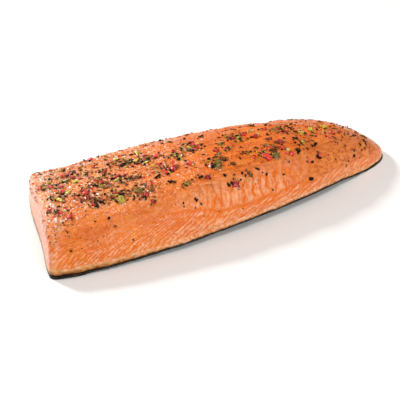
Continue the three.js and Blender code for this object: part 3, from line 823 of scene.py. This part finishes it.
class Finish:
    """A material, and short calls that add nodes to it and give back their sockets."""

    def __init__(self, name, **settings):
        self.material = bpy.data.materials.new(name)
        self.material.use_nodes = True
        self.tree = self.material.node_tree
        self.shader = self.tree.nodes["Principled BSDF"]
        self.colour = None
        self.set(**settings)

    def put(self, socket, value):
        """Links a socket or sets a plain value."""
        if isinstance(value, bpy.types.NodeSocket):
            self.tree.links.new(value, socket)
        else:
            socket.default_value = value

    def set(self, **settings):
        """Puts values into the inputs of the shader, named with _ for a space."""
        for name, value in settings.items():
            self.put(self.shader.inputs[name.replace("_", " ")], value)

    def add(self, kind, inputs, **fields):
        """A new node, with its fields set and values put into its inputs by name or number."""
        node = self.tree.nodes.new("ShaderNode" + kind)
        for field, value in fields.items():
            setattr(node, field, value)
        for key, value in inputs.items():
            self.put(node.inputs[key], value)
        return node

    def number(self, name):
        """A number that the surface carries."""
        return self.add("Attribute", {}, attribute_name=name).outputs["Fac"]

    def math(self, operation, a, b):
        """One operation on two values."""
        return self.add("Math", {0: a, 1: b}, operation=operation).outputs[0]

    def times(self, first, *others):
        """The product of all values."""
        for value in others:
            first = self.math("MULTIPLY", first, value)
        return first

    def plus(self, first, *others):
        """The sum of all values."""
        for value in others:
            first = self.math("ADD", first, value)
        return first

    def step(self, value, start, stop, low=0.0, high=1.0):
        """Smooth step from low to high while value goes from start to stop."""
        inputs = dict(enumerate((value, start, stop, low, high)))
        return self.add("MapRange", inputs, interpolation_type="SMOOTHSTEP").outputs[0]

    def mix(self, a, b, share):
        """Colour a where share is 0, colour b where it is 1."""
        return self.add("Mix", {0: share, 6: a, 7: b}, data_type="RGBA").outputs[2]

    def paint(self, colour, *shares):
        """Lays a colour over what is there, by the product of the shares."""
        self.colour = self.mix(self.colour, colour, self.times(*shares))

    def texture(self, kind, size_mm, stretch, **inputs):
        """Outputs of a pattern with features about size_mm wide, drawn out along each axis by stretch."""
        place = self.add("TexCoord", {}).outputs["Object"]
        mapped = self.add("Mapping", {"Vector": place, "Scale": [1 / s for s in stretch]}).outputs[0]
        return self.add(kind, {"Vector": mapped, "Scale": 1 / (size_mm * MM), **inputs}).outputs

    def noise(self, size_mm, detail=3.0, stretch=(1, 1, 1), rough=0.55):
        """Noise from 0 to 1."""
        return self.texture("TexNoise", size_mm, stretch, Detail=detail, Roughness=rough)["Fac"]

    def blots(self, size_mm, start, stop, low=0.0, high=1.0, **look):
        """Noise with its blots sharpened by a smooth step."""
        return self.step(self.noise(size_mm, **look), start, stop, low, high)

    def sway(self, size_mm, amount, detail=3.0):
        """Noise that goes up and down round 0, times an amount."""
        return self.times(self.math("SUBTRACT", self.noise(size_mm, detail), 0.5), amount)

    def strokes(self, across, along, size, detail):
        """Noise over two numbers of the surface in place of its position, drawn out along the second."""
        parts = {"X": self.math("DIVIDE", across, size[0]), "Y": self.math("DIVIDE", along, size[1])}
        pair = self.add("CombineXYZ", parts).outputs[0]
        return self.add("TexNoise", {"Vector": pair, "Scale": 1.0, "Detail": detail}).outputs["Fac"]

    def cells(self, size_mm, stretch):
        """Distance from the middle of the nearest cell."""
        return self.texture("TexVoronoi", size_mm, stretch)["Distance"]

    def bump(self, height, millimetres):
        """Tilts the light by a height, on the surface and on its coat."""
        tilted = self.add("Bump", {"Distance": millimetres * MM, "Height": height}).outputs[0]
        self.set(Normal=tilted, Coat_Normal=tilted)

    def soft(self, weight, radius_mm):
        """Light that enters and comes out again near by, further for red than for blue."""
        self.set(Subsurface_Weight=weight, Subsurface_Radius=radius_mm, Subsurface_Scale=MM)

    def give(self, piece, slot, node=None):
        """Gives the finish to a piece and ties the piece to the frame."""
        piece.data.materials.append(self.material)
        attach(piece, "root")
        if node:
            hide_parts(node)
        print(piece.name, "has the finish", self.material.name, "of", len(self.tree.nodes), "nodes")


print("mid orange as linear light:", np.round(srgb(232, 106, 8)[:3], 3).tolist())

# %% Colours of flesh, fat and skin
ORANGE, LIGHT, DEEP, BROWN = srgb(232, 106, 8), srgb(236, 127, 26), srgb(210, 78, 4), srgb(160, 62, 10)
PINK_LINE, PINK, PALE = srgb(255, 190, 150), srgb(242, 142, 76), srgb(255, 212, 184)
# The peach is a painted sheen colour for the oily top.
SHEEN_PEACH, SMUDGE = srgb(250, 156, 90), srgb(184, 84, 18)
TAIL_DARK, TAIL_LIGHT = srgb(186, 84, 20), srgb(230, 136, 66)
CUT_ORANGE, WHITISH, CREAM = srgb(224, 116, 70), srgb(236, 170, 148), srgb(240, 180, 112)
TAN, TAN_DARK, FAT_BROWN = srgb(204, 128, 54), srgb(156, 88, 32), srgb(104, 60, 24)
SKIN_BLACK, SKIN_GREY = srgb(4, 3, 3), srgb(18, 14, 13)
SKIN_BROWN, SILVER = srgb(74, 42, 22), srgb(168, 166, 168)
print("black of the skin as linear light:", np.round(SKIN_BLACK[:3], 4).tolist())

# %% Plain flesh, with orange and pink patches
f = Finish("salmon_flesh", IOR=1.42, Specular_Tint=(1.0, 0.58, 0.2, 1.0))
top, wet_number, spice_number = f.number("top"), f.number("wet"), f.number("spice")
mottle = f.blots(3.6, 0.44, 0.58, detail=4.0)
f.colour = f.mix(LIGHT, ORANGE, f.blots(16, 0.38, 0.66))
f.paint(DEEP, f.blots(19, 0.42, 0.6, detail=4.0), 0.75)
f.paint(PINK, mottle, 0.36)
top_streaks = f.blots(2.6, 0.42, 0.62, stretch=(9, 1, 1.6))
f.paint(f.mix(f.mix(ORANGE, DEEP, 0.1), f.mix(LIGHT, PINK, 0.45), top_streaks), top, 0.75)
# Pink patches: the own pink of the flake lines, with a painted highlight on the cut's rounded edge and
# painted sheen on the near shoulder.
pink_patches = f.blots(4.5, 0.3, 0.62, 0.4, detail=4.0)
f.paint(f.mix(PINK, PALE, f.times(mottle, 0.55)), f.number("pink_and_highlight"), pink_patches)
print(len(f.tree.nodes), "nodes for the plain flesh")

# %% Flake lines, pale and brushed
flake, climbed, low = f.number("flake"), f.number("climb"), f.number("line")
away = f.math("PINGPONG", flake, 0.5)
brush = f.math("SUBTRACT", f.strokes(flake, climbed, (0.5, 9.0), 3.0), 0.5)
broad = f.step(f.strokes(flake, climbed, (1.7, 20.0), 1.0), 0.36, 0.6, 0.45)
broken = f.blots(2.4, 0.4, 0.58, 0.1)
line = f.step(f.plus(away, f.sway(2.6, 0.8, detail=4.0), f.times(brush, 1.9)), 0.1, 0.36, 1.0, 0.0)
f.paint(ORANGE, f.step(f.plus(away, f.times(brush, 1.3)), 0.2, 0.4), low, 0.7)
f.paint(PINK_LINE, line, broad, broken, low, 0.95)
f.paint(PALE, f.step(f.strokes(flake, climbed, (0.24, 7.0), 1.0), 0.6, 0.72), broken, low, 0.5)
print(len(f.tree.nodes), "nodes with the flake lines")

# %% Upright lines and the seam along the back face
upright = f.number("upright_line")
narrow = f.step(f.plus(away, f.times(brush, 0.6)), 0.04, 0.22, 1.0, 0.0)
f.paint(PINK_LINE, f.blots(1.7, 0.4, 0.65, stretch=(1, 4, 9)), upright, 0.5)
f.paint(ORANGE, narrow, upright, f.blots(14, 0.3, 0.5, 0.75))
f.paint(ORANGE, f.number("septum"), f.blots(3.0, 0.36, 0.56, 0.4, stretch=(5, 1, 1)))
print(len(f.tree.nodes), "nodes with the upright lines and the seam")

# %% Creases, smudges and seams of the top, and the tail
f.paint(BROWN, f.blots(1.9, 0.54, 0.66, stretch=(6, 1, 1.6)), top, f.blots(20, 0.4, 0.6, 0.15, 0.75))
f.paint(SMUDGE, f.blots(6.0, 0.5, 0.64, detail=4.0), top, f.blots(30, 0.36, 0.6, 0.2, 0.5))
tail_colour = f.mix(TAIL_DARK, TAIL_LIGHT, f.blots(2.8, 0.4, 0.58, detail=4.0, stretch=(2.4, 1, 1)))
f.paint(tail_colour, f.number("tail"), f.blots(14, 0.36, 0.6, 0.6, 0.9))
f.paint(BROWN, f.number("top_seam"), f.blots(2.4, 0.38, 0.56), 0.85)
print(len(f.tree.nodes), "nodes with the top and the tail")

# %% Face of the cut and foot of the flesh
ring_line = f.step(f.math("PINGPONG", f.number("rings"), 0.5), 0.08, 0.26, 1.0, 0.0)
# The whitish blots on the cut are partly its paler flesh and partly painted sheen; the whitish rings are
# its flake lines.
cut_colour = f.mix(CUT_ORANGE, WHITISH, f.blots(2.6, 0.36, 0.7, detail=4.0))
f.paint(f.mix(cut_colour, WHITISH, f.times(ring_line, 0.8)), f.number("cut"))
ragged = f.step(f.plus(f.number("base"), f.sway(3.0, 1.6)), 0.5, 1.1)
f.paint(f.mix(CREAM, PINK_LINE, f.blots(2.2, 0.4, 0.6)), ragged, 0.8)
print(len(f.tree.nodes), "nodes with the cut and the foot")

# %% Painted sheen on the oil, stains of spice with painted shadow, painted glints, and the whole flesh finish
near_spice = f.step(spice_number, 0.05, 0.7, 0.2, 0.9)
# Painted sheen: peach patches where the oily top near the seasoning mirrors the light.
f.paint(SHEEN_PEACH, f.blots(5.0, 0.36, 0.64, 0.3, detail=4.0), wet_number, near_spice, 0.8)
# Brown round the seasoning: partly a stain of spiced oil, partly painted shadow cast by the pieces.
f.paint(BROWN, spice_number, f.blots(3.5, 0.38, 0.62), 0.45)
f.paint(DEEP, f.blots(1.4, 0.42, 0.3, detail=2.0, rough=0.7), 0.5)
# Fine pale specks everywhere: partly pale flecks of the flesh, partly painted glints.
f.paint(PALE, f.blots(1.2, 0.5, 0.72, detail=2.0), 0.08)
# Painted glints: pale spots on the oily top.
f.paint(PALE, f.blots(2.4, 0.55, 0.64), wet_number, 0.5)
f.set(Base_Color=f.colour, Coat_Weight=0.12, Coat_Roughness=0.07)
f.set(Roughness=f.math("SUBTRACT", f.blots(2.0, 0.3, 0.7, 0.22, 0.38), f.times(wet_number, 0.16)))
f.soft(0.2, (4.0, 1.6, 0.8))
fine = f.times(f.noise(1.5, 4.0), f.step(wet_number, 0.0, 1.0, 0.8, 2.0))
f.bump(f.plus(fine, f.times(f.noise(4.5, stretch=(3, 1, 1)), 1.4)), 0.6)
f.give(flesh, "salmon_flesh", "flesh")

# %% Fat finish
f = Finish("salmon_fat", IOR=1.42, Coat_Weight=0.35)
fleshy = f.number("fleshy")
high = f.plus(f.number("level"), fleshy, f.sway(4.0, 1.8, detail=4.0))
f.colour = f.mix(TAN, TAN_DARK, f.blots(6.0, 0.4, 0.66, detail=4.0))
f.paint(CREAM, f.step(high, 0.3, 0.9), 0.7)
f.paint(f.mix(LIGHT, PINK_LINE, f.blots(2.6, 0.4, 0.6)), f.step(high, 0.65, 1.15))
f.paint(FAT_BROWN, f.step(f.math("SUBTRACT", high, fleshy), 0.4, -0.1), 0.65)
f.set(Base_Color=f.colour, Roughness=f.blots(3.0, 0.3, 0.7, 0.3, 0.55))
f.soft(0.2, (3.0, 1.6, 0.8))
f.bump(f.noise(1.6, 4.0), 0.5)
f.give(fat, "salmon_fat", "fat_layer")

# %% Skin finish
f = Finish("fish_skin", IOR=1.3, Coat_Weight=0.08)
scales = f.cells(3.4, stretch=(1.3, 1, 3))
f.colour = f.mix(SKIN_BLACK, SKIN_GREY, f.step(scales, 0.35, 0.6))
f.paint(SKIN_BROWN, f.blots(7.0, 0.5, 0.62, 0.0, 0.8))
f.paint(SILVER, f.blots(9.0, 0.66, 0.78), 0.5)
f.set(Base_Color=f.colour, Roughness=f.step(scales, 0.1, 0.7, 0.22, 0.45))
f.bump(scales, -0.35)
f.give(skin, "fish_skin", "skin")

# %% [markdown]
# ## Seasoning
# On the top lie dried red pepper, dried green and paler pepper, cracked peppercorns, flecks of paprika,
# dried herbs, dust of pepper, and beads of oil, the lightest beads painted near white as glints. The
# real pieces are broken and cut, no two alike, so each kind starts from a simple shape of a few dozen
# faces and every copy is made uneven corner by corner.
# Modelling a few pieces by hand and copying them would show the same piece over and over.

# %% Large pieces, with the sizes and spins that the solid has
LARGE = np.concatenate([RED_PIECES, GREEN_PIECES, DARK_PIECES])
large_x, large_y, long = LARGE.T
number = np.arange(1, len(LARGE) + 1)
wide, thick = long * (0.55 + 0.35 * draw(number * 17 + 13)), np.maximum(0.42 * long, 2.1)
large_size = np.stack([long, wide, thick], -1)
large_spin = 2 * np.pi * draw(number * 5 + 4)
large_turn = turn_at(large_x, large_y)
kind = np.repeat([0, 1, 2], [len(RED_PIECES), len(GREEN_PIECES), len(DARK_PIECES)])
LARGE_LIE = (0.42, 0.8, 0.35)  # how far sunk, how uneven and how far leant


def large(name, which, scale, seed, flat=True):
    """The large pieces of one kind as one mesh, their solid sizes times a scale."""
    tables = (large_x, large_turn, large_size, large_spin)
    x, turn, size, spin = (table[kind == which] for table in tables)
    return strew(name, CUBE, x, turn, size * scale, spin, *LARGE_LIE, seed, flat)


red = large("red_pepper_large", 0, 1.0, 1, flat=False)
green = large("green_pepper_large", 1, 0.88, 775)
dark = large("black_pepper_large", 2, [0.75, 0.6, 0.75], 3)

# %% Drawn kinds


def sizes_of(n, seed, small, big, lopsided, wide, thick):
    """Length, width and thickness of n pieces: small ones are common and big ones rare."""
    k = np.arange(n) + seed * 500
    long = mix(small, big, draw(k * 1.9) ** lopsided)
    return np.stack([long, long * mix(*wide, draw(k * 2.3 + 1)), long * mix(*thick, draw(k * 2.9 + 2))], -1)


def spins(n, seed):
    """A drawn angle for each of n pieces."""
    return 2 * np.pi * draw(np.arange(n) * 4.1 + seed)


def round_large(count, seed):
    """x and turn of crumbs that lie against the large pieces, so many for each."""
    n = np.arange(count * len(LARGE)) + seed * 1000
    x, y, length = np.repeat(LARGE, count, axis=0).T
    reach, angle = length * mix(0.35, 0.8, draw(n * 2.3)), 2 * np.pi * draw(n * 3.9)
    return x + reach * np.cos(angle), turn_at(x, y + reach * np.sin(angle))


def strewn(
    name, shape, seed, size, lie, count=0, in_drifts=0.5, slope=0, at_cut=0, near=0, spin_share=1.0,
    flat=True, bend=0.0, **where,
):  # fmt: skip
    """A kind with drawn places, sizes and spins: a count of pieces over the drifts and the top, and more
    of them down the slopes, along the edge of the cut, and near each of the large pieces."""
    parts = [places(count, seed, in_drifts, **where), slope_places(slope, seed), cut_places(at_cut, seed)]
    x, turn = (np.concatenate(values) for values in zip(*parts, round_large(near, seed)))
    spin = spins(len(x), seed) * spin_share
    return strew(name, shape, x, turn, sizes_of(len(x), seed, *size), spin, *lie, seed, flat, bend)


# Sizes are the smallest and largest length, the power that favours small ones, then width and thickness
# as shares of the length. A lie is how far a piece is sunk, how uneven it is and how far it leans.
CHUNKY, THIN = (0.5, 0.9), (0.2, 0.5)  # thickness of a crumb and of a fleck
DICED, DICED_LIE = (1.4, 4.0, 1.7, (0.5, 0.95), (0.35, 0.6)), (0.35, 0.7, 0.5)
CRACKED, CRACKED_LIE = (0.9, 3.3, 2.2, (0.5, 1.0), CHUNKY), (0.3, 0.9, 0.5)
SPECK_SHARES, SPECK_LIE = [1.0, 0.65, 0.5], (0.3, 0.6, 0.3)
EDGE_FLECK, FLECK = (1.0, 2.6, 1.6, (0.5, 0.9), THIN), (0.6, 2.2, 2.0, (0.5, 0.9), THIN)
FLECK_LIE = (0.35, 0.8, 0.4)
HERB, HERB_LIE = (1.4, 5.5, 2.2, (0.2, 0.4), (0.12, 0.2)), (0.25, 0.5, 0.15)
DUST, DUST_LIE = (0.4, 1.1, 1.6, (0.6, 1.0), CHUNKY), (0.3, 0.6, 0.5)
BEAD, BEAD_LIE = (0.7, 2.7, 2.0, (0.6, 1.0), (0.35, 0.55)), (0.4, 0.15, 0.1)
DRAWN = (DICED, CRACKED, EDGE_FLECK, FLECK, HERB, DUST, BEAD)
print("longest drawn piece:", max(size[1] for size in DRAWN), "mm")

# %% Diced pepper and cracked pepper
red_bits = strewn("red_pepper_bits", CUBE, 11, DICED, DICED_LIE, 190, 0.78)
green_bits = strewn("green_pepper_bits", CUBE, 12, DICED, DICED_LIE, 140, 0.85)
pale_bits = strewn("pale_pepper_bits", CUBE, 17, DICED, DICED_LIE, 240, 0.8, near=1)
cracked = strewn(
    "cracked_pepper_bits", SHARD, 13, CRACKED, CRACKED_LIE, 1080, 0.8, crowding=1.25, slope=40, near=5
)
speck_x, speck_turn = specks_by_hand(SPECKS)
speck_size, speck_spin = SPECKS[:, 2:] * SPECK_SHARES, spins(len(SPECKS), 6)
specks = strew(
    "single_pepper_specks", SHARD, speck_x, speck_turn, speck_size, speck_spin, *SPECK_LIE, seed=6
)

# %% Flecks, herbs, dust and oil beads with painted glints, the edge flecks along the cut alone
edge_flecks = strewn("edge_flecks", SHARD, 21, EDGE_FLECK, FLECK_LIE, at_cut=55)
flecks = strewn(
    "paprika_flecks", SHARD, 18, FLECK, FLECK_LIE, 2000, 0.7, crowding=1.7, slope=110, at_cut=170
)
herbs = strewn(
    "herb_flecks", CHIP, 14, HERB, HERB_LIE, 330, 0.3, crowding=1.1, spin_share=0.12, flat=False, bend=0.6
)
dust = strewn("pepper_dust", SHARD, 15, DUST, DUST_LIE, 2300, spread=1.6, crowding=1.2, slope=160)
# Oil beads: the lightest tone is near white, a painted glint on each such bead.
beads = strewn(
    "oil_beads", BALL, 19, BEAD, BEAD_LIE, 2900, 0.0, crowding=3.2, reach=210, at_cut=110, flat=False
)

# %% Seasoning finishes
DULL, SHINY = 0.2, 0.5  # mirror strength of a dry and of a clear piece


def seasoning_finish(name, dark, middle, light, roughness, coat, softness, blotched):
    """Three colours by the tone drawn for each piece, blotched by noise, with oil over them."""
    shine = SHINY if softness else DULL
    f = Finish(name, IOR=1.36, Specular_IOR_Level=shine, Specular_Tint=(1.0, 0.85, 0.7, 1.0))
    tone = f.plus(f.number("tone"), f.sway(1.7, blotched))
    f.colour = f.mix(srgb(*dark), srgb(*middle), f.step(tone, 0.1, 0.5))
    f.paint(srgb(*light), f.step(tone, 0.6, 1.0))
    f.set(Base_Color=f.colour, Roughness=f.blots(0.8, 0.3, 0.7, roughness, roughness + 0.2))
    f.set(Coat_Weight=coat, Coat_Roughness=0.08)
    f.soft(softness, (2.0, 1.0, 0.6))
    f.bump(f.noise(0.9), 0.25)
    return f


# Each row: finish, dark, middle and light colour, roughness, coat, softness, blotches, slot and pieces.
SEASONING = [
    ("red_pepper_pieces", (140, 8, 10), (214, 20, 18), (236, 70, 44), 0.2, 0.9, 0.15, 2.0,
     "red_pepper_pieces", [red, red_bits]),
    ("paprika_pieces", (140, 48, 8), (188, 72, 14), (218, 106, 28), 0.35, 0.3, 0.1, 1.5,
     "red_pepper_pieces", [flecks, edge_flecks]),
    ("green_pepper_pieces", (104, 80, 14), (178, 148, 26), (218, 194, 56), 0.2, 0.9, 0.15, 2.4,
     "green_pepper_pieces", [green, green_bits]),
    ("pale_pepper_pieces", (110, 60, 22), (186, 122, 50), (226, 184, 110), 0.25, 0.4, 0.2, 1.5,
     "green_pepper_pieces", [pale_bits]),
    ("cracked_pepper", (8, 4, 2), (38, 20, 8), (136, 78, 32), 0.45, 0.1, 0.0, 1.5,
     "cracked_pepper", [dark, cracked, specks, dust]),
    ("dried_herbs", (20, 20, 8), (46, 44, 14), (104, 90, 38), 0.5, 0.15, 0.0, 1.5, "dried_herbs", [herbs]),
    # Oil beads: orange and peach like the oil, and a near-white tone that is a painted glint.
    ("oil_beads", (230, 124, 64), (246, 176, 132), (255, 250, 244), 0.08, 1.0, 0.3, 1.5,
     "salmon_flesh", [beads]),
]  # fmt: skip
for *look, slot, pieces in SEASONING:
    finish = seasoning_finish(*look)
    for piece in pieces:
        finish.give(piece, slot)

# %% [markdown]
# ## Camera, ground and light
# The fillet is seen from the back edge and a little above. It lies on a plain pale ground in soft light
# from all round, from above and from the front. A small strong light behind it on the left is mirrored in
# the oily top and makes it shine, and a weak one on the left lights the cut.

# %% Camera
CAMERA_AT = (-298.52, -777.4, 520.0)
CAMERA_TILT, CAMERA_TURN = 57.9, -19.6  # degrees from straight down, and round the upright axis
CAMERA_LENS, SENSOR = 94.68, 36.0  # focal length and sensor width in mm

eye = bpy.data.objects.new("eye", bpy.data.cameras.new("eye"))
eye.location = [MM * c for c in CAMERA_AT]
eye.rotation_euler = Euler(np.radians([CAMERA_TILT, 0, CAMERA_TURN]))
eye.data.lens, eye.data.sensor_width, eye.data.sensor_fit = CAMERA_LENS, SENSOR, "HORIZONTAL"
eye.data.clip_end = 20.0
bpy.context.scene.collection.objects.link(eye)
bpy.context.scene.camera = eye
print("camera at", CAMERA_AT, "mm")

# %% Ground and lights
GROUND_REACH, SKY_STRENGTH = 4000.0, 0.3
GROUND_CORNERS = GROUND_REACH * np.array([[-1, -1, 0], [1, -1, 0], [1, 1, 0], [-1, 1, 0]])
ground = build("ground", GROUND_CORNERS, [np.arange(4)[None, :]], flat=True)
ground.data.materials.append(Finish("pale_ground", Roughness=0.6, Base_Color=srgb(252, 249, 246)).material)

sky = bpy.data.worlds.new("sky")
sky.use_nodes = True
sky_inputs = sky.node_tree.nodes["Background"].inputs
sky_inputs["Color"].default_value = (1.0, 1.0, 1.0, 1.0)
sky_inputs["Strength"].default_value = SKY_STRENGTH
bpy.context.scene.world = sky


def panel(name, at, aim, size, watts):
    """A square light at a place in metres, turned towards its aim."""
    light = bpy.data.objects.new(name, bpy.data.lights.new(name, "AREA"))
    light.data.shape, light.data.size, light.data.energy = "SQUARE", size, watts
    light.location = at
    light.rotation_euler = (Vector(aim) - Vector(at)).to_track_quat("-Z", "Y").to_euler()
    bpy.context.scene.collection.objects.link(light)
    print(name, "at", at, "m:", watts, "W")


panel("light_above", (0.45, -0.25, 1.4), (0.05, 0, 0), 0.6, 6.6)
panel("light_behind", (-0.6, 0.9, 0.75), (-0.12, 0, 0.03), 0.22, 17)
panel("light_left", (-1.1, 0.25, 0.6), (-0.1, 0, 0.03), 0.5, 1.6)
panel("light_front", (0.35, -1.4, 0.8), (0, 0, 0), 0.8, 10)
bpy.context.scene.view_settings.view_transform = "Standard"
